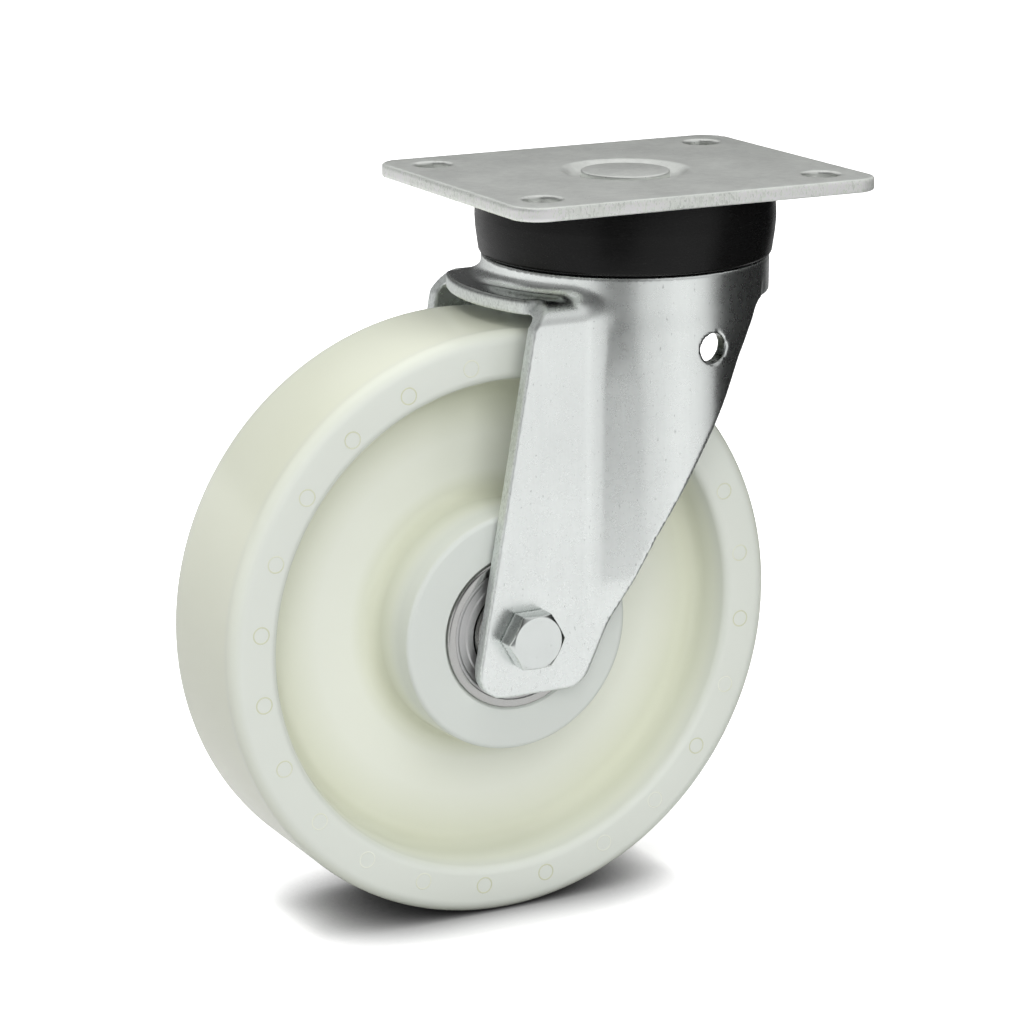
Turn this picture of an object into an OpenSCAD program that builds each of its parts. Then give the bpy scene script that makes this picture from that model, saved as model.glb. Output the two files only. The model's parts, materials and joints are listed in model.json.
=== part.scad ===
// Heavy duty swivel castor: nylon wheel in a pressed steel fork under a bolt-on top plate.
// Z points up, X points forward, and the origin is on the swivel axis in the plate's top face.

/* [Top plate] */
// Length of the plate along the direction of travel
plate_length = 135; // [130:1:160]
// Width of the plate
plate_width = 110; // [106:1:130]
// Thickness of the plate sheet
plate_thickness = 4.5; // [4:0.5:6]
// Radius of the plate's corners
plate_corner_radius = 10; // [4:1:16]
// Distance between the bolt holes along the plate
bolt_spacing_x = 105; // [100:1:108]
// Distance between the bolt holes across the plate
bolt_spacing_y = 77.5; // [74:0.5:80]
// Radius of each bolt hole
bolt_hole_radius = 6.25; // [4.5:0.25:6.5]
// Radius of the pressed dish round the king pin's head
dish_radius = 22.5; // [21:0.5:26]
// Depth of the pressed dish
dish_depth = 2.5; // [1.5:0.5:3]
// Flat ring of the dish's floor that shows round the king pin's head
dish_floor_margin = 2; // [1:0.5:3]

/* [Swivel head] */
// Radius of the king pin's head
pin_head_radius = 15; // [14:0.5:17]
// Radius of the king pin's shank
pin_radius = 8; // [6:0.5:9]
// Width across the flats of the king pin's nut
pin_nut_flats = 24; // [22:1:27]
// Height of the king pin's nut
pin_nut_height = 8.5; // [6:0.5:9]
// Thickness of the washer on the king pin's nut
pin_washer_thickness = 2.5; // [1:0.5:3]
// How far that washer reaches past the nut's flats
pin_washer_margin = 2; // [1:0.5:4]
// How far the king pin stands out of its nut
pin_stand_out = 3; // [1:0.5:4]
// Pitch radius of the upper ball track
upper_pitch_radius = 38; // [36:0.5:39]
// Radius of one upper ball
upper_ball_radius = 4; // [3.5:0.25:4.5]
// Number of balls in the upper track
upper_ball_count = 24; // [12:1:24]
// Thickness of the upper race ring
upper_race_thickness = 5; // [4.5:0.5:6]
// Pitch radius of the lower ball track
lower_pitch_radius = 22; // [20:0.5:24]
// Radius of one lower ball
lower_ball_radius = 3.5; // [3:0.25:3.75]
// Number of balls in the lower track
lower_ball_count = 16; // [8:1:16]
// Thickness of the lower race ring
lower_race_thickness = 4.9; // [4.5:0.1:6]
// Outer radius of the seal ring at its widest
seal_radius = 50.6; // [50:0.1:53]
// How far the seal ring reaches below the plate
seal_height = 22.5; // [20:0.5:24]
// Wall of the seal ring
seal_wall = 3.6; // [2.5:0.1:4]

/* [Fork] */
// Thickness of the fork's sheet
sheet = 5; // [4:0.5:6]
// Outer radius of the fork's round neck
neck_radius = 48.5; // [48:0.5:51]
// Height of the wide part of the neck, down to the flange's top
neck_height = 7; // [5:0.5:10]
// Chamfer where the crown's top turns down
crown_chamfer = 2; // [1:0.5:3]
// Trail of the wheel's axle behind the swivel axis
trail = 57; // [50:1:62]
// How far the front flange reaches from the swivel axis
flange_reach = 59.7; // [58:0.1:62]
// Half width of the flange before it bends down into the legs
flange_half_width = 29; // [26:0.5:30]
// Outer radius of the bend between flange and leg
bend_radius = 8; // [7:0.5:9]
// How far the leg's front edge runs forward as it goes down over the bend
bend_run = 6.5; // [4:0.5:8]
// How far the leg's front edge is from the swivel axis, below the bend
leg_front_x = 56.5; // [54:0.5:58]
// How far the leg's rear edge is from the swivel axis, at the neck's rim
leg_rear_x = 28; // [24:1:30]
// How far the knee of the leg's rear edge is from the swivel axis
knee_x = 13; // [8:1:16]
// Drop of that knee below the neck's rim
knee_drop = 42; // [36:1:48]
// Drop of the leg's lower edge below the axle
lug_drop = 20; // [18:0.5:22]
// Reach of the leg's lower front corner from the axle
lug_front = 21; // [19:0.5:23]
// Reach of the leg's lower rear corner from the axle
lug_rear = 20.6; // [19:0.1:23]
// Radius of the leg's lower corners
lug_corner_radius = 9; // [6:0.5:11]
// Drop of the steep upper part of the bulge below the neck's rim
bulge_steep_drop = 28; // [22:1:34]
// How far the bulge still stands out from the leg at the foot of that part
bulge_foot = 4; // [2:0.5:5]
// Drop of the bulge's end below the neck's rim
bulge_drop = 98; // [80:1:104]
// Radius of the cross hole in each leg
cross_hole_radius = 5; // [4:0.5:6]
// Distance of the cross hole from the swivel axis
cross_hole_x = 6; // [2:1:8]
// Drop of the cross hole below the neck's rim
cross_hole_drop = 13; // [11:0.5:16]

/* [Wheel] */
// Diameter of the wheel
wheel_diameter = 200; // [190:5:210]
// Width of the tread
tread_width = 50; // [46:1:52]
// Radius of the tread's shoulders
shoulder_radius = 4.5; // [2:0.5:6]
// Gap between the tread and the flange above it
tread_gap = 5.4; // [4:0.2:8]
// Thickness of the wheel's web
web_thickness = 16; // [12:1:20]
// Radial thickness of the rim at its lip
rim_thickness = 16; // [10:0.5:20]
// Draft of the rim's inner wall, from lip to web
rim_draft = 3; // [1:0.5:5]
// Length of the wheel's hub
hub_length = 62; // [58:1:64]
// Outer radius of the wheel's hub
hub_radius = 40.5; // [38:0.5:43]
// Draft of the hub, from its end to the web
hub_draft = 1; // [0.5:0.5:3]
// Radius where the rim meets the web
rim_fillet = 7; // [4:0.5:9]
// Radius where the hub meets the web
hub_fillet = 5; // [3:0.5:7]
// Radius of the rim's lip and the hub's edge
lip_radius = 2; // [1:0.5:3]

/* [Axle and bearings] */
// Diameter of the axle bolt
axle_diameter = 12; // [10:1:14]
// Width across the flats of the bolt head and nut
axle_flats = 18; // [17:0.5:22]
// Height of the bolt head
axle_head_height = 7.5; // [6:0.5:9]
// Height of the lock nut
axle_nut_height = 12; // [10:0.5:14]
// Thickness of the washer under the lock nut
axle_washer_thickness = 2.5; // [1.5:0.5:3]
// How far that washer reaches past the nut's flats
axle_washer_margin = 3; // [1.5:0.5:4]
// How far the bolt stands out of its nut
bolt_stand_out = 2; // [1:0.5:4]
// Outer radius of the axle tube that carries the bearings
tube_radius = 12.5; // [11:0.5:13]
// Thickness of the spacer between bearing and leg
spacer_thickness = 1.5; // [1:0.5:3]
// Outer radius of that spacer
spacer_radius = 15.5; // [15:0.5:17]
// Outer radius of each bearing
bearing_radius = 26; // [25:0.5:28]
// Width of each bearing
bearing_width = 15; // [13:1:17]
// How far each bearing stands out of the hub
bearing_proud = 0.5; // [0.5:0.5:2]
// Radius of one bearing ball
bearing_ball_radius = 3.9; // [3.25:0.05:4]
// Number of balls in each bearing
bearing_ball_count = 9; // [6:1:10]
// Thickness of each bearing shield
shield_thickness = 0.6; // [0.4:0.1:1]
// How far each shield lies inside the bearing's face
shield_inset = 0.5; // [0.3:0.1:1]
// Width of the step in the hub that each bearing is pushed against
bearing_step = 4; // [2:0.5:6]

/* [Fits] */
// Radial running clearance between a ball and its track
track_clearance = 0.06; // [0.03:0.01:0.1]
// Clearance of a seated or pressed piece
seat_clearance = 0.02; // [0.01:0.01:0.04]
// Clearance of a bolt in its hole
bolt_clearance = 0.2; // [0.1:0.1:0.5]
// Gap between pieces that pass each other without touching
free_gap = 0.6; // [0.4:0.1:0.8]

/* [Hidden] */
$fn = 96;
arc_steps = 6;
cut = 1;
overlap = 0.1;
far_out = 200;
edge = 0.5;
tip = 1;
hex_face_share = 0.475;
zinc = "#c9cdca";
bright_steel = "#b9bab8";
dark_steel = "#77797a";
black_plastic = "#191a1a";
nylon = "#e9ebdc";

// Plate
plate_bottom = -plate_thickness;
dish_floor_radius = pin_head_radius + dish_floor_margin;
dish_spread = 2;
dish_slope = dish_radius - dish_floor_radius;

// Swivel head, from the plate down
track_bite = 0.5;
upper_gap = 2 * upper_ball_radius * (1 - track_bite);
lower_gap = 2 * lower_ball_radius * (1 - track_bite);
upper_race_bottom = plate_bottom - upper_race_thickness;
upper_ball_z = upper_race_bottom - upper_gap / 2;
crown_top = upper_race_bottom - upper_gap;
crown_bottom = crown_top - sheet;
lower_ball_z = crown_bottom - lower_gap / 2;
lower_race_top = crown_bottom - lower_gap;
lower_race_bottom = lower_race_top - lower_race_thickness;
pin_washer_bottom = lower_race_bottom - pin_washer_thickness;
pin_nut_bottom = pin_washer_bottom - pin_nut_height;
pin_end = pin_nut_bottom - pin_stand_out;
race_margin = 3;
upper_race_inner = upper_pitch_radius - upper_ball_radius - race_margin;
lower_race_outer = lower_pitch_radius + lower_ball_radius + race_margin;
seal_inner = seal_radius - seal_wall;
seal_belly = 0.7;
upper_race_outer = seal_inner - seat_clearance;
seal_bottom = plate_bottom - seal_height;
crown_radius = seal_inner - free_gap;
crown_bore = pin_radius + free_gap;

// Fork
neck_top = seal_bottom - free_gap;
flange_top = neck_top - neck_height;
rim_z = flange_top - sheet;
leg_inner = hub_length / 2 + bearing_proud + spacer_thickness;
leg_outer = leg_inner + sheet;
leg_start_z = flange_top - bend_radius;
flange_end_x = leg_front_x - bend_run;
flange_arc_x = 4.5;
knee_z = rim_z - knee_drop;
bulge_steep_z = rim_z - bulge_steep_drop;
bulge_end_z = rim_z - bulge_drop;
rear_lip = 1;
bulge_lip = 3;
bulge_start_z = rim_z - bulge_lip;
cross_hole_z = rim_z - cross_hole_drop;

// Wheel
wheel_radius = wheel_diameter / 2;
axle_z = rim_z - tread_gap - wheel_radius;
lug_z = axle_z - lug_drop;
half_tread = tread_width / 2;
half_web = web_thickness / 2;
half_hub = hub_length / 2;
lip_inner = wheel_radius - rim_thickness;
web_outer = lip_inner - rim_draft;
hub_foot = hub_radius + hub_draft;
seat_radius = bearing_radius + seat_clearance;
bearing_outside = half_hub + bearing_proud;
bearing_inside = bearing_outside - bearing_width;
hub_bore = bearing_radius - bearing_step;
mouth_chamfer = 0.6;

// Axle and bearings
axle_radius = axle_diameter / 2;
bolt_hole = axle_radius + bolt_clearance;
inner_ring_bore = tube_radius + seat_clearance;
ball_pitch = (inner_ring_bore + bearing_radius) / 2;
land_share = 0.78;
land = land_share * bearing_ball_radius;
inner_ring_outer = ball_pitch - land;
outer_ring_inner = ball_pitch + land;
bearing_middle = (bearing_outside + bearing_inside) / 2;
shield_grip = 0.8;
shield_recess = outer_ring_inner + shield_grip;
outside_floor = bearing_outside - shield_inset - shield_thickness;
inside_floor = bearing_inside + shield_inset + shield_thickness;
cage_margin = 0.8;
cage_half_width = bearing_ball_radius + cage_margin;
cage_half_wall = 1;

// Unit vector along v
function unit(v) = v / norm(v);

// An angle brought to the range from -180 to 180 degrees
function turn(a) = a > 180 ? a - 360 : a < -180 ? a + 360 : a;

// Points of the arc of radius r that rounds the corner b between a and c
function corner_arc(a, b, c, r) =
    let (u = unit(a - b))
    let (v = unit(c - b))
    let (half = acos(u * v) / 2)
    let (centre = b + unit(u + v) * r / sin(half))
    let (s = b + u * r / tan(half) - centre)
    let (e = b + v * r / tan(half) - centre)
    let (start = atan2(s[1], s[0]))
    let (sweep = turn(atan2(e[1], e[0]) - start))
    [for (i = [0:arc_steps]) let (t = start + sweep * i / arc_steps) centre + r * [cos(t), sin(t)]];

function flat_point(p) = [p[0], p[1]];

// An outline whose corners are given as [x, y, rounding radius]
function rounded_outline(p) =
    let (n = len(p))
    [for (i = [0:n - 1]) each p[i][2] == 0 ? [flat_point(p[i])]
        : corner_arc(flat_point(p[(i + n - 1) % n]), flat_point(p[i]), flat_point(p[(i + 1) % n]), p[i][2])];

// The mirror image of a half outline, so that both make one closed outline about y = 0
function mirrored(p) = concat(p, [for (i = [len(p) - 1:-1:0]) [p[i][0], -p[i][1], p[i][2]]]);

// Straight round piece from z0 down to z1
module round_bar(r, z0, z1) {
    translate([0, 0, z1])
        cylinder(r = r, h = z0 - z1);
}

// Flat ring between two radii, from z0 down to z1
module washer_ring(inner, outer, z0, z1) {
    difference() {
        round_bar(outer, z0, z1);
        round_bar(inner, z0 + cut, z1 - cut);
    }
}

// Hexagonal bar with the given width across flats and its top edge chamfered
module hex_bar(flats, height) {
    top = hex_face_share * flats;
    side = height - (flats - top) * tan(30);
    intersection() {
        cylinder(d = flats / cos(30), h = height, $fn = 6);
        rotate_extrude()
            polygon([[0, 0], [flats, 0], [flats, side], [top, height], [0, height]]);
    }
}

// Ring-shaped groove that a ball of radius r runs in
module ball_groove(pitch, r) {
    rotate_extrude()
        translate([pitch, 0])
            circle(r = r + track_clearance);
}

// A ring of balls about Z
module ball_row(pitch, r, count) {
    for (i = [0:count - 1])
        rotate([0, 0, 360 / count * i])
            translate([pitch, 0, 0])
                sphere(r = r);
}

// Places a piece whose own Z axis is the axle; its +Z points to the near side for side = -1
module on_axle(side) {
    translate([-trail, 0, axle_z])
        rotate([-90 * side, 0, 0])
            children();
}

// Puts a prism drawn in the XZ plane between y0 and y1
module side_prism(y0, y1) {
    translate([0, y1, 0])
        rotate([90, 0, 0])
            linear_extrude(height = y1 - y0)
                children();
}

// Puts a prism drawn in the YZ plane between x0 and x1
module front_prism(x0, x1) {
    translate([x0, 0, 0])
        rotate([90, 0, 90])
            linear_extrude(height = x1 - x0)
                children();
}

module top_plate() {
    l = plate_length / 2;
    w = plate_width / 2;
    r = plate_corner_radius;
    color(zinc)
        difference() {
            union() {
                translate([0, 0, plate_bottom])
                    linear_extrude(height = plate_thickness)
                        polygon(rounded_outline([[-l, -w, r], [l, -w, r], [l, w, r], [-l, w, r]]));
                translate([0, 0, plate_bottom - dish_depth])
                    cylinder(r1 = dish_floor_radius + dish_spread, r2 = dish_radius + dish_spread,
                        h = dish_depth + overlap);
            }
            translate([0, 0, -dish_depth])
                cylinder(r1 = dish_floor_radius, r2 = dish_radius + cut * dish_slope / dish_depth,
                    h = dish_depth + cut);
            round_bar(pin_radius + seat_clearance, cut, plate_bottom - dish_depth - cut);
            for (x = [-1, 1], y = [-1, 1])
                translate([x * bolt_spacing_x / 2, y * bolt_spacing_y / 2, 0])
                    round_bar(bolt_hole_radius, cut, plate_bottom - cut);
        }
}

// Its tip is chamfered like a thread's start
module king_pin() {
    color(bright_steel)
        rotate_extrude()
            polygon([[0, 0], [pin_head_radius - edge, 0], [pin_head_radius, -edge],
                [pin_head_radius, -dish_depth], [pin_radius, -dish_depth], [pin_radius, pin_end + tip],
                [pin_radius - tip, pin_end], [0, pin_end]]);
}

module upper_race() {
    color(bright_steel)
        difference() {
            washer_ring(upper_race_inner, upper_race_outer, plate_bottom, upper_race_bottom);
            translate([0, 0, upper_ball_z])
                ball_groove(upper_pitch_radius, upper_ball_radius);
        }
}

module upper_balls() {
    color(dark_steel)
        translate([0, 0, upper_ball_z])
            ball_row(upper_pitch_radius, upper_ball_radius, upper_ball_count);
}

module lower_balls() {
    color(dark_steel)
        translate([0, 0, lower_ball_z])
            ball_row(lower_pitch_radius, lower_ball_radius, lower_ball_count);
}

module lower_race() {
    color(bright_steel)
        difference() {
            washer_ring(pin_radius + seat_clearance, lower_race_outer, lower_race_top, lower_race_bottom);
            translate([0, 0, lower_ball_z])
                ball_groove(lower_pitch_radius, lower_ball_radius);
        }
}

module king_pin_washer() {
    color(zinc)
        washer_ring(pin_radius + seat_clearance, pin_nut_flats / 2 + pin_washer_margin,
            lower_race_bottom, pin_washer_bottom);
}

module king_pin_nut() {
    color(zinc)
        difference() {
            translate([0, 0, pin_washer_bottom])
                mirror([0, 0, 1])
                    hex_bar(pin_nut_flats, pin_nut_height);
            round_bar(pin_radius + seat_clearance, pin_washer_bottom + cut, pin_nut_bottom - cut);
        }
}

// The ring bellies a little and draws in at its lower edge
module seal_ring() {
    color(black_plastic)
        rotate_extrude()
            polygon(rounded_outline([[seal_inner, plate_bottom, 0],
                [seal_radius - seal_belly, plate_bottom, 0],
                [seal_radius, (plate_bottom + seal_bottom) / 2, 0],
                [seal_radius - seal_belly, seal_bottom, seal_wall / 2], [seal_inner, seal_bottom, 0]]));
}

// Side view of the legs, from the flange down to the lug round the axle
module leg_outline() {
    polygon(rounded_outline([[-flange_end_x, flange_top, 0], [-leg_front_x, leg_start_z, 3],
        [-trail - lug_front, lug_z, lug_corner_radius], [-trail + lug_rear, lug_z, lug_corner_radius],
        [knee_x, knee_z, 0], [leg_rear_x, rim_z - rear_lip, 0], [leg_rear_x, flange_top, 0]]));
}

// Front view of the channel that flange and legs make, offset inwards by d
module channel_section(d, low) {
    w = leg_outer - d;
    r = bend_radius - d;
    polygon(rounded_outline([[-w, low, 0], [-w, flange_top - d, r], [w, flange_top - d, r], [w, low, 0]]));
}

// Front view of the bulge that runs from the neck down into the legs, offset inwards by d
module bulge_section(d, top) {
    side = [[neck_radius - d, top], [neck_radius - d, bulge_start_z],
        [leg_outer + bulge_foot - d, bulge_steep_z], [leg_outer - d, bulge_end_z]];
    polygon(concat(side, [for (i = [3:-1:0]) [-side[i][0], side[i][1]]]));
}

// Round body of the neck and bulge, offset inwards by d
module neck_body(d, top) {
    intersection() {
        round_bar(neck_radius - d, top, bulge_end_z);
        front_prism(-neck_radius - cut, neck_radius + cut)
            bulge_section(d, top);
    }
}

// Flat tongue of the sheet in front of the neck, with an arc for its front edge
module flange_blank() {
    r = flange_reach + flange_arc_x;
    translate([0, 0, rim_z])
        linear_extrude(height = sheet)
            intersection() {
                translate([flange_arc_x, 0])
                    circle(r = r);
                translate([-r, -flange_half_width])
                    square([r, 2 * flange_half_width]);
            }
}

module leg_blank() {
    intersection() {
        front_prism(-far_out, leg_rear_x)
            channel_section(0, lug_z - cut);
        side_prism(-leg_outer - cut, leg_outer + cut)
            leg_outline();
    }
}

module bulge_blank() {
    intersection() {
        neck_body(0, rim_z);
        side_prism(-neck_radius - cut, neck_radius + cut)
            leg_outline();
    }
}

module crown_blank() {
    round_bar(neck_radius, neck_top, rim_z);
    round_bar(crown_radius, crown_top - crown_chamfer, neck_top - cut);
    translate([0, 0, crown_top])
        mirror([0, 0, 1])
            cylinder(r1 = crown_radius - crown_chamfer, r2 = crown_radius, h = crown_chamfer);
}

module fork() {
    color(zinc)
        difference() {
            union() {
                crown_blank();
                flange_blank();
                leg_blank();
                bulge_blank();
            }
            neck_body(sheet, neck_top - sheet);
            round_bar(crown_radius - sheet, crown_bottom, neck_top - sheet - cut);
            front_prism(-far_out, far_out)
                channel_section(sheet, lug_z - 2 * cut);
            translate([0, 0, upper_ball_z])
                ball_groove(upper_pitch_radius, upper_ball_radius);
            translate([0, 0, lower_ball_z])
                ball_groove(lower_pitch_radius, lower_ball_radius);
            round_bar(crown_bore, crown_top + cut, crown_bottom - cut);
            translate([cross_hole_x, neck_radius + cut, cross_hole_z])
                rotate([90, 0, 0])
                    cylinder(r = cross_hole_radius, h = 2 * (neck_radius + cut));
            translate([-trail, leg_outer + cut, axle_z])
                rotate([90, 0, 0])
                    cylinder(r = bolt_hole, h = 2 * (leg_outer + cut));
        }
}

// Washer face of the far leg, measured from the wheel's middle
far_face = leg_outer + axle_washer_thickness;
bolt_end = far_face + axle_nut_height + bolt_stand_out;

module axle_bolt() {
    color(zinc)
        on_axle(-1) {
            translate([0, 0, leg_outer])
                hex_bar(axle_flats, axle_head_height);
            rotate_extrude()
                polygon([[0, leg_outer + cut], [axle_radius, leg_outer + cut],
                    [axle_radius, -bolt_end + tip], [axle_radius - tip, -bolt_end], [0, -bolt_end]]);
        }
}

module axle_washer() {
    color(zinc)
        on_axle(1)
            washer_ring(axle_radius + seat_clearance, axle_flats / 2 + axle_washer_margin,
                far_face, leg_outer);
}

module axle_nut() {
    color(zinc)
        on_axle(1)
            difference() {
                translate([0, 0, far_face])
                    hex_bar(axle_flats, axle_nut_height);
                round_bar(axle_radius + seat_clearance, far_face + axle_nut_height + cut, far_face - cut);
            }
}

module axle_tube() {
    color(dark_steel)
        on_axle(1)
            washer_ring(bolt_hole, tube_radius, leg_inner, -leg_inner);
}

module spacer(side) {
    color(bright_steel)
        on_axle(side)
            washer_ring(inner_ring_bore, spacer_radius, leg_inner, bearing_outside);
}

module inner_ring(side) {
    color(bright_steel)
        on_axle(side)
            difference() {
                washer_ring(inner_ring_bore, inner_ring_outer, bearing_outside, bearing_inside);
                translate([0, 0, bearing_middle])
                    ball_groove(ball_pitch, bearing_ball_radius);
            }
}

module outer_ring(side) {
    color(bright_steel)
        on_axle(side)
            difference() {
                washer_ring(outer_ring_inner, bearing_radius, bearing_outside, bearing_inside);
                translate([0, 0, bearing_middle])
                    ball_groove(ball_pitch, bearing_ball_radius);
                round_bar(shield_recess, bearing_outside + cut, outside_floor);
                round_bar(shield_recess, inside_floor, bearing_inside - cut);
            }
}

// Thin disc pressed into the outer ring; z is its outer face
module shield(side, z) {
    color(dark_steel)
        on_axle(side)
            washer_ring(inner_ring_outer + free_gap / 2, shield_recess - seat_clearance,
                z, z - shield_thickness);
}

module bearing_balls(side) {
    color(dark_steel)
        on_axle(side)
            translate([0, 0, bearing_middle])
                ball_row(ball_pitch, bearing_ball_radius, bearing_ball_count);
}

module cage(side) {
    color(bright_steel)
        on_axle(side)
            translate([0, 0, bearing_middle])
                difference() {
                    washer_ring(ball_pitch - cage_half_wall, ball_pitch + cage_half_wall,
                        cage_half_width, -cage_half_width);
                    for (i = [0:bearing_ball_count - 1])
                        rotate([0, 0, 360 / bearing_ball_count * i])
                            rotate([0, 90, 0])
                                cylinder(r = bearing_ball_radius + track_clearance, h = bearing_radius);
                }
}

// Half section of the wheel: hub bore, bearing seat, hub, web, rim and tread
wheel_half = [[hub_bore, bearing_inside, 0], [seat_radius, bearing_inside, 0],
    [seat_radius, half_hub - mouth_chamfer, 0], [seat_radius + mouth_chamfer, half_hub, 0],
    [hub_radius, half_hub, lip_radius], [hub_foot, half_web, hub_fillet],
    [web_outer, half_web, rim_fillet], [lip_inner, half_tread, lip_radius],
    [wheel_radius, half_tread, shoulder_radius]];

module wheel() {
    color(nylon)
        on_axle(1)
            rotate_extrude($fn = 144)
                polygon(rounded_outline(mirrored(wheel_half)));
}

top_plate();
king_pin();
upper_race();
seal_ring();
lower_race();
king_pin_washer();
king_pin_nut();
upper_balls();
lower_balls();
fork();
axle_bolt();
axle_washer();
axle_nut();
axle_tube();
spacer(-1);  // near_spacer
spacer(1);  // far_spacer
inner_ring(-1);  // near_inner_ring
inner_ring(1);  // far_inner_ring
wheel();
outer_ring(-1);  // near_outer_ring
outer_ring(1);  // far_outer_ring
shield(-1, outside_floor + shield_thickness);  // near_outside_shield
shield(-1, inside_floor);  // near_inside_shield
shield(1, outside_floor + shield_thickness);  // far_outside_shield
shield(1, inside_floor);  // far_inside_shield
bearing_balls(-1);  // near_balls
bearing_balls(1);  // far_balls
cage(-1);  // near_cage
cage(1);  // far_cage
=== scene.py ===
"""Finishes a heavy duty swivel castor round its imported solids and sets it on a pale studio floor."""
import json
import math

import bpy
import numpy as np
from bpy.props import FloatProperty, FloatVectorProperty, IntProperty, PointerProperty
from bpy.types import Operator, Panel, PropertyGroup
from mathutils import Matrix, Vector


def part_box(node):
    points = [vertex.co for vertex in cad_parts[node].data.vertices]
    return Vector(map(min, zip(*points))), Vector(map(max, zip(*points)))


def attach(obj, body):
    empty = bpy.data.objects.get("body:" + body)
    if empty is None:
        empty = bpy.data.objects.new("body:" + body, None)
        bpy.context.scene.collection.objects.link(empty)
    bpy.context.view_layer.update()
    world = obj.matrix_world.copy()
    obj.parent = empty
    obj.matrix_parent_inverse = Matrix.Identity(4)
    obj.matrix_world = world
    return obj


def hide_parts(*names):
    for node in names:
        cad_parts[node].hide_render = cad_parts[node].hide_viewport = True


bl_info = {
    "name": "Heavy Duty Swivel Castor",
    "version": (1, 0, 0),
    "blender": (4, 5, 0),
    "location": "3D View > Sidebar > Castor",
    "description": "Builds the pressed, moulded and turned pieces of a swivel castor",
    "category": "Add Mesh",
}

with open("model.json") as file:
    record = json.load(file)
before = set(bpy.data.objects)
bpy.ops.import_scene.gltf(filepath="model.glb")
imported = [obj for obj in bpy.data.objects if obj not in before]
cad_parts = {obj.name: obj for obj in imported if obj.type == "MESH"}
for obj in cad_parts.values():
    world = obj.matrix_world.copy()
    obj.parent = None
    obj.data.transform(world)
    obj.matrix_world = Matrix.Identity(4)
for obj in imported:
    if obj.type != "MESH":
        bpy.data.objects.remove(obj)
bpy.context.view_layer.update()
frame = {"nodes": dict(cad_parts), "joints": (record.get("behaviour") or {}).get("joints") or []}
MM = 0.001
AXLE = np.array(next(j["pos_m"] for j in frame["joints"] if j["name"] == "wheel_spin")) / MM
UP = np.array([0.0, 0.0, 1.0])
NEAR = np.array([0.0, -1.0, 0.0])
FAR = -NEAR
TINY = 1e-9

# Light and dark cards of the studio's mirror walls: azimuth in degrees (0 is -Y, 90 is +X) and level.
LOW_CARDS = [(-180, 0.6), (-150, 0.9), (-120, 1.1), (-60, 1.0), (-50, 0.8), (-45, 0.2), (-24, 0.28),
             (-18, 0.8), (-8, 0.88), (0, 0.88), (8, 1.05), (16, 1.05), (24, 0.96), (32, 0.96), (40, 0.5),
             (45, 0.02), (112, 0.02), (120, 0.3), (180, 0.5)]
HIGH_CARDS = [(-180, 0.1), (-140, 0.15), (-105, 0.3), (-50, 0.3), (-45, 0.1), (-24, 0.1), (0, 0.55),
              (34, 0.65), (44, 0.3), (50, 0.03), (112, 0.03), (118, 0.3), (135, 0.1), (180, 0.1)]
ROOF_CARDS = [(-180, 0.9), (-140, 0.8), (-120, 0.15), (-20, 0.15), (0, 0.8), (60, 0.8), (180, 0.9)]
CARD_RADIUS = 420.0
WHITE = (1.0, 1.0, 1.0, 1.0)

# The fork's bulge from the neck's rim down. Columns: drop in mm, fold angle as a share of the neck's own,
# shift of the crest's centre in mm, and radius behind the crest as a share of the neck's.
BULGE = [(0, 1.0, 0.0, 1.0), (5, 0.93, 0.1, 0.95), (9, 0.81, 0.3, 0.8), (18, 0.68, 0.8, 0.52),
         (25, 0.635, 1.0, 0.45), (60, 0.62, 1.0, 0.45), (91, 0.58, 1.0, 0.45), (99, 0.35, 1.0, 0.5),
         (106, 0.0, 1.0, 1.0)]

# Rear end of the neck's rim, then x and drop below that rim of the hole through both legs.
NECK_REAR = 28.0
HOLE_X, HOLE_DROP = 6.0, 13.0

# Shank radii of the king pin and the axle bolt, and radii of the bores round them and the axle tube.
PIN, PLATE_BORE, CROWN_BORE = 8.0, 8.05, 8.6
BOLT, LEG_BORE, WASHER_BORE = 6.0, 6.2, 6.1
SPACER_BORE = 12.53

# Each slot's usual material.
LOOKS = {"plate_zinc": "plate_plating", "fastener_zinc": "bolt_plating", "fork_zinc": "fork_plating",
         "seal_plastic": "black_plastic", "bearing_steel": "ground_steel", "shield_steel": "shield_steel",
         "wheel_nylon": "nylon"}


def low(node):
    """A node's lowest corner in millimetres."""
    return np.array(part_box(node)[0]) / MM


def high(node):
    """A node's highest corner in millimetres."""
    return np.array(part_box(node)[1]) / MM


def round_axle(node):
    """A node's nearest and furthest distance from the wheel's middle, and its outer radius about the axle."""
    near, far = sorted((abs(low(node)[1]), abs(high(node)[1])))
    return near, far, high(node)[0] - AXLE[0]


def size(name, description, default, smallest=0.05, largest=400.0):
    """A length in millimetres for the sidebar."""
    return FloatProperty(name=name, description=description, default=default, min=smallest, max=largest)


def shade(name, description, default):
    """A colour for the sidebar."""
    return FloatVectorProperty(name=name, description=description, default=default,
                               subtype="COLOR", size=3, min=0.0, max=1.0)


def share(name, description, default):
    """A factor from 0 to 1 for the sidebar."""
    return FloatProperty(name=name, description=description, default=default,
                         subtype="FACTOR", min=0.0, max=1.0)


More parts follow.
